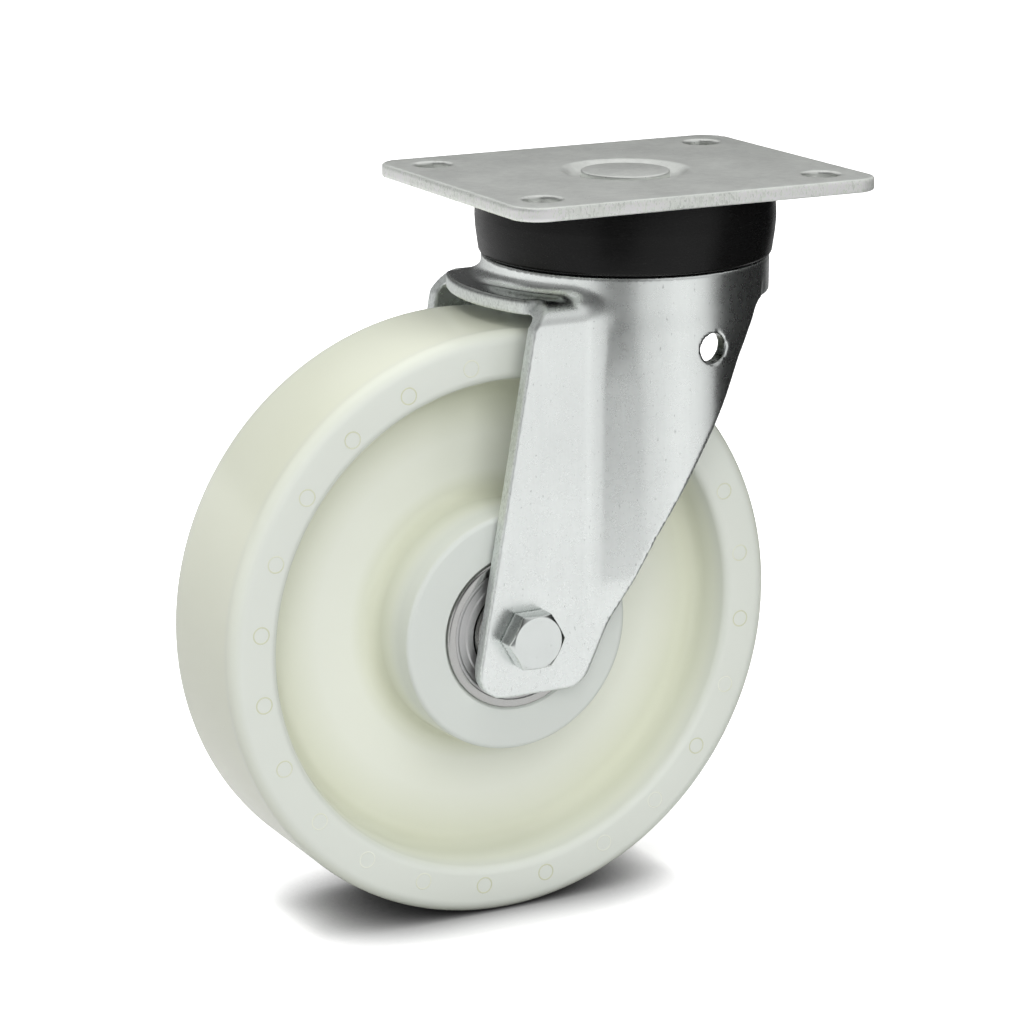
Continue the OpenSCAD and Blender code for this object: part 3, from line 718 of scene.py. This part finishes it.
def moulding_group():
    """Moulded nylon: painted shade in the web's corners and on the tread, and cooler painted shade on the ends
    of hub and rim.

    Places are in metres: reach is the distance from the axle, side the distance from the wheel's middle.
    """
    tree, given, leave = new_group("moulding", ["Color", "Deep", "Cool"], {"Roughness": 0.25})
    place = given["Vector"]
    parts = put(tree, "ShaderNodeSeparateXYZ", {0: place}).outputs
    flat = put(tree, "ShaderNodeCombineXYZ", {0: parts[0], 2: parts[2]}).outputs[0]
    reach = put(tree, "ShaderNodeVectorMath", {0: flat}, operation="LENGTH").outputs["Value"]
    side = maths(tree, "ABSOLUTE", parts[1], 0.0)
    # Painted shade in the web's corners: the deep tint near the rim's and hub's fillets, stronger toward the
    # web.
    depth = mapped(tree, side, 0.022, 0.009)
    outer = times(tree, mapped(tree, reach, 0.0625, 0.078), mapped(tree, reach, 0.0855, 0.0815))
    inner = times(tree, mapped(tree, reach, 0.0505, 0.0435), mapped(tree, reach, 0.039, 0.041))
    corner = times(tree, maths(tree, "MAXIMUM", outer, inner), depth)
    clouds = noise(tree, place, 14.0, 2.0, 0.5)
    # Painted shade on the tread; the clouds add the deep tint at random.
    amount = total(tree, times(tree, corner, 0.55), mapped(tree, clouds, 0.35, 0.7, 0.0, 0.12),
                   mapped(tree, reach, 0.0965, 0.0985, 0.0, 0.4))
    tint = blended(tree, amount, given["Color"], given["Deep"])
    # Painted shade: the cool colour, darker than the nylon, on the hub's ends and the rim's faces.
    hub_end = mapped(tree, side, 0.0275, 0.0305, 0.0, 0.9)
    rim_face = mapped(tree, side, 0.018, 0.0245, 0.0, 0.55)
    proud = maths(tree, "MAXIMUM", hub_end, rim_face)
    fill(tree, leave, {"Color": blended(tree, proud, tint, given["Cool"]), "Height": clouds,
                       "Roughness": total(tree, given["Roughness"], swing(tree, clouds, 0.08))})
    return tree


def group(name, maker):
    """A shared node group, built once."""
    return bpy.data.node_groups.get(name) or maker()


def rgba(colour):
    """A colour with full alpha."""
    return (*colour, 1.0)


def start_material(name, metallic, centre=(0.0, 0.0, 0.0)):
    """A material with its shader and the object's coordinates, counted from a centre in millimetres."""
    made = bpy.data.materials.new(name)
    made.use_nodes = True
    tree = made.node_tree
    shader = tree.nodes["Principled BSDF"]
    shader.inputs["Metallic"].default_value = metallic
    place = tree.nodes.new("ShaderNodeTexCoord").outputs["Object"]
    return made, tree, shader, moved(tree, place, tuple(-np.array(centre) * MM))


def bumped(tree, height, strength, distance):
    """A normal that follows a height; the distance is in millimetres."""
    inputs = {"Height": height, "Strength": strength, "Distance": distance * MM}
    return put(tree, "ShaderNodeBump", inputs).outputs["Normal"]


def finish_material(tree, shader, effect, bump, distance):
    """Links a group's colour, roughness and height to the shader."""
    fill(tree, shader, {"Base Color": effect.outputs["Color"], "Roughness": effect.outputs["Roughness"],
                        "Normal": bumped(tree, effect.outputs["Height"], bump, distance)})


def plated_material(name, colour, roughness, clouds, streaks, specks, bump=0.3, distance=0.05, edge=0.08):
    """Zinc plated or bare steel; the mesh marks where sheared edges are rougher with a painted highlight, and
    where painted shade darkens the colour.
    """
    made, tree, shader, place = start_material(name, 1.0)
    marks = {label: put(tree, "ShaderNodeAttribute", attribute_name=label.lower()).outputs["Fac"]
             for label in ("Cut", "Dim")}
    inputs = {"Vector": place, "Color": rgba(colour), "Roughness": roughness, "Clouds": clouds,
              "Streaks": streaks, "Specks": specks, "Edge": edge, **marks}
    effect = put(tree, "ShaderNodeGroup", inputs, node_tree=group("plating", plating_group))
    finish_material(tree, shader, effect, bump, distance)
    return made


def nylon_material(name, finish):
    """Natural nylon, smooth and a little waxy."""
    made, tree, shader, place = start_material(name, 0.0, AXLE)
    # Deep and Cool are the colours of painted shade.
    inputs = {"Vector": place, "Color": rgba(finish.nylon), "Deep": rgba(finish.olive_shade_and_dirt),
              "Cool": rgba(finish.cool_shade), "Roughness": finish.nylon_gloss}
    effect = put(tree, "ShaderNodeGroup", inputs, node_tree=group("moulding", moulding_group))
    finish_material(tree, shader, effect, 0.1, 0.3)
    return made


def mark_material(name, finish):
    """The nylon of the mould marks, a little darker where dirt holds."""
    made, tree, shader, place = start_material(name, 0.0)
    dirt = mapped(tree, noise(tree, place, 22.0, 2.0, 0.5), 0.40, 0.56)
    fill(tree, shader, {"Base Color": blended(tree, dirt, rgba(finish.nylon), rgba(finish.olive_shade_and_dirt)),
                        "Roughness": finish.nylon_gloss})
    return made


def plastic_material(name, finish):
    """Black moulded plastic with faint ripples that run round it."""
    made, tree, shader, place = start_material(name, 0.0)
    dust = noise(tree, stretched(tree, place, (1.0, 1.0, 3.0)), 160.0, 4.0, 0.6)
    ripple = noise(tree, stretched(tree, place, (1.0, 1.0, 6.0)), 40.0, 3.0, 0.5)
    gloss = finish.plastic_gloss
    fill(tree, shader, {"Base Color": rgba(finish.plastic), "Specular IOR Level": 0.17,
                        "Roughness": mapped(tree, dust, 0.3, 0.7, gloss, gloss + 0.1),
                        "Normal": bumped(tree, ripple, 0.2, 0.3)})
    return made


def material(name):
    """A finish by name, built when it is first asked for."""
    found = bpy.data.materials.get(name)
    if found:
        return found
    finish = bpy.context.scene.castor_finish
    gloss = finish.zinc_gloss
    # Colour, roughness, clouds, streaks, specks, bump, its distance in mm, and the sheared edge's extra light.
    plated = {
        "fork_plating": (finish.zinc, gloss, 0.14, 0.08, 0.6, 0.14, 0.05),
        "plate_plating": (finish.plate, gloss + 0.14, 0.45, 0.03, 0.6, 0.2, 0.06, 0.36),
        "bolt_plating": (finish.bolt, gloss - 0.10, 0.12, 0.04, 0.5, 0.12, 0.04),
        "ground_steel": (finish.steel, 0.22, 0.06, 0.03, 0.1, 0.1),
        "shield_steel": (finish.shield, 0.26, 0.10, 0.05, 0.2, 0.1),
        "dark_steel": (finish.dark, 0.35, 0.2, 0.2, 0.2),
    }
    if name in plated:
        return plated_material(name, *plated[name])
    makers = {"nylon": nylon_material, "mould_mark": mark_material, "black_plastic": plastic_material}
    return makers[name](name, finish)


def dress(piece, name):
    """Gives a piece one material."""
    piece.data.materials.clear()
    piece.data.materials.append(material(name))
    return piece


class CASTOR_OT_plate(Operator):
    """Presses the top plate with its dish and four bolt holes."""

    bl_idname = "castor.plate"
    bl_label = "Top plate"

    def execute(self, context):
        s = context.scene.castor_sizes
        margin = 2 * s.grid
        field, limit = plate_field(s)
        points, faces = field_surface(field, low("top_plate") - margin, high("top_plate") + margin, s.grid)
        mesh_object("pressed_plate", points, faces, "head", "plate_zinc", "top_plate",
                    cut=sheared(limit, points))
        return {"FINISHED"}


class CASTOR_OT_head(Operator):
    """Makes the king pin, its nut and washer, and the seal ring of the swivel head."""

    bl_idname = "castor.head"
    bl_label = "Swivel head"

    def execute(self, context):
        base = -context.scene.castor_sizes.dish_depth
        centre = np.zeros(3)
        body, zinc = "head", "fastener_zinc"
        bottom, nut_low, nut_high = low("king_pin")[2], low("king_pin_nut"), high("king_pin_nut")
        outline = [[PIN - 1.0, bottom, 0], [PIN, bottom + 1.0, 0], [PIN, base, 0],
                   [high("king_pin")[0], base, 0.2], [high("king_pin")[0], -0.15, 0.7]]
        turned_solid("king_pin_turned", outline, centre, UP, body, "plate_zinc", "king_pin",
                     thread=(bottom + 1.0, nut_low[2] + 0.5, 1.5, 0.8))
        hex_solid("king_pin_nut_cut", nut_high[1] - nut_low[1], -nut_high[2], -nut_low[2], centre, -UP,
                  body, zinc, "king_pin_nut", bore=PIN + 0.03)
        lo, hi = low("king_pin_washer"), high("king_pin_washer")
        turned_ring("king_pin_washer_cut", band(PIN + 0.03, hi[0], lo[2], hi[2], 0.3, 0.4), centre, UP,
                    body, zinc, "king_pin_washer")
        lo, hi = low("seal_ring"), high("seal_ring")
        inner, foot = hi[0] - 3.6, lo[2] - 0.3
        outline = [[inner, foot, 0.5], [hi[0] - 1.4, foot, 1.6], [hi[0] - 0.25, lo[2] + 8.0, 40.0],
                   [hi[0], -15.2, 0], [hi[0], -14.0, 0.4], [hi[0] - 0.5, hi[2], 0.4], [inner, hi[2], 0.2]]
        turned_ring("seal_ring_moulded", outline, centre, UP, body, "seal_plastic", "seal_ring", count=256)
        return {"FINISHED"}


class CASTOR_OT_fork(Operator):
    """Presses the fork: crown, neck, front flange and two legs in one sheet."""

    bl_idname = "castor.fork"
    bl_label = "Fork"

    def execute(self, context):
        s = context.scene.castor_sizes
        margin = 2 * s.grid
        step = s.grid * 1.0
        field, limit = fork_field(s)
        points, faces = field_surface(field, low("fork") - margin, high("fork") + margin, step)
        x, y, z = points.T
        # Painted shade: the flange's top darkens over 3.5 mm from the neck outwards, and the cross hole's wall
        # is darkened all over.
        flange = np.clip((np.hypot(x, y) - s.neck_radius - 1.0) / 3.5, 0, 1)
        flange = flange * np.clip((z - s.flange_top + 1.6) / 0.8, 0, 1) * (z < s.flange_top + 2.0)
        punched = np.hypot(x - HOLE_X, z - s.flange_top + s.sheet + HOLE_DROP) < s.cross_hole + 0.3
        mesh_object("pressed_fork", points, faces, "swivel_fork", "fork_zinc", "fork",
                    cut=sheared(limit, points), dim=np.where(punched, 1.0, flange))
        return {"FINISHED"}


class CASTOR_OT_axle(Operator):
    """Makes the axle bolt, its washer and lock nut, and the spacers beside the bearings."""

    bl_idname = "castor.axle"
    bl_label = "Axle"

    def execute(self, context):
        body, zinc = "swivel_fork", "fastener_zinc"
        lo, hi = low("axle_bolt"), high("axle_bolt")
        flats = hi[2] - lo[2]
        end = hi[1]
        leg = context.scene.castor_sizes.leg
        hex_solid("axle_bolt_head", flats, leg, -lo[1], AXLE, NEAR, body, zinc, "axle_bolt")
        outline = [[BOLT, -leg + 0.2, 0], [BOLT, end - 1.0, 0], [BOLT - 1.0, end, 0]]
        turned_solid("axle_bolt_shank", outline, AXLE, FAR, body, zinc,
                     thread=(leg + 1.0, end - 1.0, 1.75, 0.9))
        near, far, reach = round_axle("axle_washer")
        turned_ring("axle_washer_cut", band(WASHER_BORE, reach, near, far, 0.2, 0.4), AXLE, FAR, body, zinc,
                    "axle_washer")
        near, far, _ = round_axle("axle_nut")
        hex_solid("axle_lock_nut", flats, near, far, AXLE, FAR, body, zinc, "axle_nut", bore=BOLT + 0.02,
                  collar=4.0)
        for node, axis in (("near_spacer", NEAR), ("far_spacer", FAR)):
            near, far, reach = round_axle(node)
            turned_ring(node + "_turned", band(SPACER_BORE, reach, near, far, 0.2, 0.3), AXLE, axis, body,
                        "bearing_steel", node)
        return {"FINISHED"}


class CASTOR_OT_wheel(Operator):
    """Moulds the nylon wheel with its mould marks."""

    bl_idname = "castor.wheel"
    bl_label = "Wheel"

    def execute(self, context):
        s = context.scene.castor_sizes
        _, hub_end, radius = round_axle("wheel")
        floor, _, seat = round_axle("near_outer_ring")
        seat = seat + 0.02
        tread = 25.0
        lip = radius - s.rim
        half = [[seat - 4.0, floor, 0.4], [seat, floor, 0.3], [seat, hub_end - 1.0, 0.3],
                [seat + 0.9, hub_end, 0.3], [s.hub, hub_end, 1.8], [s.hub + 1.2, s.web, 5.0],
                [lip - 3.0, s.web, 7.0], [lip, tread, 3.2], [radius, tread, 4.6]]
        outline = half + [[r, -t, c] for r, t, c in reversed(half)]
        turned_ring("moulded_wheel", outline, AXLE, NEAR, "rolling_wheel", "wheel_nylon", "wheel", count=288,
                    steps=10)
        self.mould_marks(s, tread)
        return {"FINISHED"}

    def mould_marks(self, s, tread):
        """Fine raised rings round each side of the rim, left by the mould's pins.

        Ring k on a side has its centre at radius mark_ring and angle mark_turn + 360 k / marks degrees from +X
        toward +Z. Its bead is a flattened tube: mark + 0.22 cos b outwards, 0.05 sin b above the rim's face.
        """
        around, across = 40, 8
        a = np.linspace(0, 2 * np.pi, around, endpoint=False)[:, None]
        b = np.linspace(0, 2 * np.pi, across, endpoint=False)[None, :]
        radius = s.mark + 0.22 * np.cos(b)
        height = 0.05 * np.sin(b) + 0 * a
        points, faces = [], []
        for side in (-1, 1):
            for k in range(s.marks):
                turn = math.radians(s.mark_turn + 360.0 * k / s.marks)
                x = s.mark_ring * math.cos(turn) + radius * np.cos(a)
                z = s.mark_ring * math.sin(turn) - side * radius * np.sin(a)
                place = AXLE + np.column_stack([x.ravel(), side * (tread + height).ravel(), z.ravel()])
                faces.append(grid_faces(around, across, True) + len(points) * around * across)
                points.append(place)
        piece = mesh_object("mould_marks", np.vstack(points), np.vstack(faces), "rolling_wheel", "wheel_nylon")
        dress(piece, "mould_mark")


class CASTOR_OT_bearings(Operator):
    """Turns the bearings' outer rings and presses their shields."""

    bl_idname = "castor.bearings"
    bl_label = "Bearings"

    def execute(self, context):
        for side, axis in (("near", NEAR), ("far", FAR)):
            self.ring(side, axis)
            for place in ("outside", "inside"):
                self.shield(f"{side}_{place}_shield", axis, 1 if place == "outside" else -1)
        return {"FINISHED"}

    def ring(self, side, axis):
        """An outer ring with its raceway and the seats of its two shields."""
        near, far, reach = round_axle(side + "_outer_ring")
        middle = (near + far) / 2
        # Radius of the ring's lands, and the depth that each shield sits in.
        bore, seat = reach - 3.7, 1.1
        step = bore + 0.8
        angles = np.linspace(-1.4, 1.4, 9)[::-1]
        groove = [[bore + 1.45 * math.cos(a), middle + 2.9 * math.sin(a), 0] for a in angles]
        outline = [[step, near, 0.15], [reach, near, 0.8], [reach, far, 0.9], [step, far, 0.25],
                   [step, far - seat, 0], [bore, far - seat, 0.15], *groove, [bore, near + seat, 0.15],
                   [step, near + seat, 0]]
        turned_ring(side + "_outer_ring_turned", outline, AXLE, axis, "rolling_wheel", "bearing_steel",
                    side + "_outer_ring")

    def shield(self, node, axis, facing):
        """A thin disc with a pressed step; facing is 1 for a shield that looks out of the hub, else -1."""
        near, far, reach = round_axle(node)
        bore = reach - 6.5
        front, back = (far, near) if facing > 0 else (near, far)
        sunk = front + 0.35 * (back - front)
        outline = [[bore, front, 0.1], [bore + 2.2, front, 0.3], [bore + 2.8, sunk, 0.3],
                   [reach - 1.4, sunk, 0.3], [reach - 0.9, front, 0.2], [reach, front, 0.1],
                   [reach, back, 0.1], [bore, back, 0.1]]
        turned_ring(node + "_pressed", outline, AXLE, axis, "rolling_wheel", "shield_steel", node)


class CASTOR_OT_inner(Operator):
    """Gives the pieces that keep their solids' shape their finish."""

    bl_idname = "castor.inner"
    bl_label = "Inner pieces"

    def execute(self, context):
        for node in ("upper_race", "lower_race", "upper_balls", "lower_balls", "near_inner_ring",
                     "far_inner_ring", "near_balls", "far_balls"):
            dress(frame["nodes"][node], "ground_steel")
        dress(frame["nodes"]["axle_tube"], "dark_steel")
        for node in ("near_cage", "far_cage"):
            dress(frame["nodes"][node], "shield_steel")
        return {"FINISHED"}


def stage_sheet(name, points, faces):
    """A studio surface from points in millimetres, with an empty material; gives its object and node tree."""
    data = bpy.data.meshes.new(name)
    data.from_pydata((np.asarray(points) * MM).tolist(), [], faces)
    made = bpy.data.objects.new(name, data)
    bpy.context.scene.collection.objects.link(made)
    look = bpy.data.materials.new(name)
    look.use_nodes = True
    look.node_tree.nodes.clear()
    data.materials.append(look)
    return made, look.node_tree


def card(name, points, faces, levels):
    """Faces that glow at the given levels and that only mirror-like rays see."""
    made, tree = stage_sheet(name, points, faces)
    made.data.attributes.new("level", "FLOAT", "FACE").data.foreach_set("value", levels)
    level = put(tree, "ShaderNodeAttribute", attribute_name="level").outputs["Fac"]
    glow = put(tree, "ShaderNodeEmission", {"Color": WHITE, "Strength": level})
    put(tree, "ShaderNodeOutputMaterial", {"Surface": glow.outputs[0]})
    made.visible_camera = False
    made.visible_diffuse = False
    made.visible_shadow = False


def wall(name, levels, bottom, top):
    """A round wall of cards; each card's level is read off a table of azimuths."""
    count = 120
    angle = np.linspace(-180.0, 180.0, count, endpoint=False)
    x, y = CARD_RADIUS * np.sin(np.radians(angle)), -CARD_RADIUS * np.cos(np.radians(angle))
    points = np.vstack([np.column_stack([x, y, np.full(count, z)]) for z in (bottom, top)])
    near = np.arange(count)
    after = (near + 1) % count
    faces = np.column_stack([near, near + count, after + count, after])
    azimuths, shares = np.array(levels).T
    card(name, points, faces.tolist(), np.interp(angle + 180.0 / count, azimuths, shares))


def floor_flag(corner, azimuths, height, level):
    """A flat card over the floor: the slice between two azimuths, seen from its corner."""
    angle = np.radians(np.linspace(*azimuths, 24))
    rim = np.column_stack([corner[0] + CARD_RADIUS * np.sin(angle), corner[1] - CARD_RADIUS * np.cos(angle)])
    points = np.vstack([corner, rim])
    count = len(points)
    card("floor_flag", np.column_stack([points, np.full(count, height)]), [list(range(count))], [level])


def sun(name, toward, angle, strength):
    """A wide soft sun that lights matt surfaces and shows in no mirror."""
    data = bpy.data.lights.new(name, "SUN")
    data.energy = strength
    data.angle = math.radians(angle)
    made = bpy.data.objects.new(name, data)
    made.rotation_euler = Vector(toward).to_track_quat("Z", "Y").to_euler()
    made.visible_glossy = False
    bpy.context.scene.collection.objects.link(made)


class CASTOR_OT_stage(Operator):
    """Sets the floor, the world, the camera, the lamps and the mirror cards."""

    bl_idname = "castor.stage"
    bl_label = "Studio"

    def execute(self, context):
        studio = context.scene.castor_studio
        ground = low("wheel")[2]
        self.floor(studio, ground)
        self.world(studio)
        self.camera(studio)
        sun("front", (-0.25, -0.85, 0.46), 50.0, 1.7)
        sun("top", (-0.10, 0.0, 0.98), 60.0, 2.2)
        sun("rear", (0.75, 0.55, 0.25), 60.0, 0.9)
        floor_flag((20.0, -40.0), (44.0, 112.0), ground + 1.0, 0.04)
        wall("low_cards", LOW_CARDS, ground, -20.0)
        wall("high_cards", HIGH_CARDS, -20.0, 160.0)
        wall("roof_cards", ROOF_CARDS, 160.0, 600.0)
        context.scene.view_settings.view_transform = "Standard"
        return {"FINISHED"}

    def floor(self, studio, ground):
        """A wide pale disc with a contact shadow, which the camera and mirrors see lifted toward white."""
        count, radius = 96, 6000
        angle = np.linspace(0, 2 * np.pi, count, endpoint=False)
        ring = np.column_stack([radius * np.cos(angle), radius * np.sin(angle), np.full(count, ground)])
        _, tree = stage_sheet("floor", ring, [list(range(count))])
        near = put(tree, "ShaderNodeAmbientOcclusion", {"Distance": studio.contact * MM}, samples=12)
        open_sky = maths(tree, "POWER", near.outputs["AO"], 1.7)
        matt = put(tree, "ShaderNodeBsdfDiffuse", {"Color": grey(tree, times(tree, open_sky, studio.floor))})
        seen = tree.nodes.new("ShaderNodeLightPath").outputs
        mirrored = maths(tree, "MAXIMUM", seen["Is Glossy Ray"], seen["Is Transmission Ray"])
        place = tree.nodes.new("ShaderNodeTexCoord").outputs["Object"]
        place = moved(tree, place, (-AXLE[0] * MM, 0, -ground * MM))
        away = put(tree, "ShaderNodeVectorMath", {0: place}, operation="LENGTH").outputs["Value"]
        lift = mapped(tree, away, 0.05, 0.20, studio.lift_near, studio.lift_far)
        lift = times(tree, seen["Is Camera Ray"], lift)
        lift = total(tree, lift, times(tree, mirrored, studio.lift_glossy))
        glow = put(tree, "ShaderNodeEmission", {"Color": WHITE, "Strength": times(tree, lift, open_sky)})
        both = put(tree, "ShaderNodeAddShader", {0: matt.outputs[0], 1: glow.outputs[0]})
        put(tree, "ShaderNodeOutputMaterial", {"Surface": both.outputs[0]})

    def world(self, studio):
        """White for the camera and for mirrors, plain grey light for matt surfaces."""
        made = bpy.data.worlds.new("studio")
        bpy.context.scene.world = made
        made.use_nodes = True
        tree = made.node_tree
        tree.nodes.clear()
        seen = tree.nodes.new("ShaderNodeLightPath").outputs
        rays = [seen[f"Is {kind} Ray"] for kind in ("Camera", "Glossy", "Transmission")]
        shown = maths(tree, "MAXIMUM", *rays)
        level = mapped(tree, shown, 0.0, 1.0, studio.sky, 1.0)
        sky = put(tree, "ShaderNodeBackground", {"Color": WHITE, "Strength": level})
        put(tree, "ShaderNodeOutputWorld", {"Surface": sky.outputs[0]})

    def camera(self, studio):
        """The photograph's view: a long lens, a little above the castor."""
        a, e = math.radians(studio.azimuth), math.radians(studio.elevation)
        back = Vector((math.sin(a) * math.cos(e), -math.cos(a) * math.cos(e), math.sin(e)))
        data = bpy.data.cameras.new("camera")
        data.sensor_width = 36.0
        data.lens = studio.lens
        data.clip_end = 50.0
        made = bpy.data.objects.new("camera", data)
        made.location = (Vector(studio.target) + back * studio.distance) * MM
        made.rotation_euler = (-back).to_track_quat("-Z", "Y").to_euler()
        bpy.context.scene.collection.objects.link(made)
        bpy.context.scene.camera = made


OPERATORS = [CASTOR_OT_plate, CASTOR_OT_head, CASTOR_OT_fork, CASTOR_OT_axle, CASTOR_OT_wheel,
             CASTOR_OT_bearings, CASTOR_OT_inner, CASTOR_OT_stage]


class CASTOR_PT_panel(Panel):
    """Lists the castor's pieces and settings."""

    bl_idname = "CASTOR_PT_panel"
    bl_label = "Swivel castor"
    bl_space_type = "VIEW_3D"
    bl_region_type = "UI"
    bl_category = "Castor"

    def draw(self, context):
        for operator in OPERATORS:
            self.layout.operator(operator.bl_idname)
        for settings in (context.scene.castor_sizes, context.scene.castor_finish, context.scene.castor_studio):
            box = self.layout.box()
            for key in settings.__annotations__:
                box.prop(settings, key)


CLASSES = [CastorSizes, CastorFinish, CastorStudio, *OPERATORS, CASTOR_PT_panel]


def register():
    for made in CLASSES:
        bpy.utils.register_class(made)
    bpy.types.Scene.castor_sizes = PointerProperty(type=CastorSizes)
    bpy.types.Scene.castor_finish = PointerProperty(type=CastorFinish)
    bpy.types.Scene.castor_studio = PointerProperty(type=CastorStudio)


def unregister():
    del bpy.types.Scene.castor_studio
    del bpy.types.Scene.castor_finish
    del bpy.types.Scene.castor_sizes
    for made in reversed(CLASSES):
        bpy.utils.unregister_class(made)


def main():
    """Builds every piece."""
    register()
    bpy.ops.castor.plate()
    bpy.ops.castor.head()
    bpy.ops.castor.fork()
    bpy.ops.castor.axle()
    bpy.ops.castor.wheel()
    bpy.ops.castor.bearings()
    bpy.ops.castor.inner()
    bpy.ops.castor.stage()


if __name__ == "__main__":
    main()
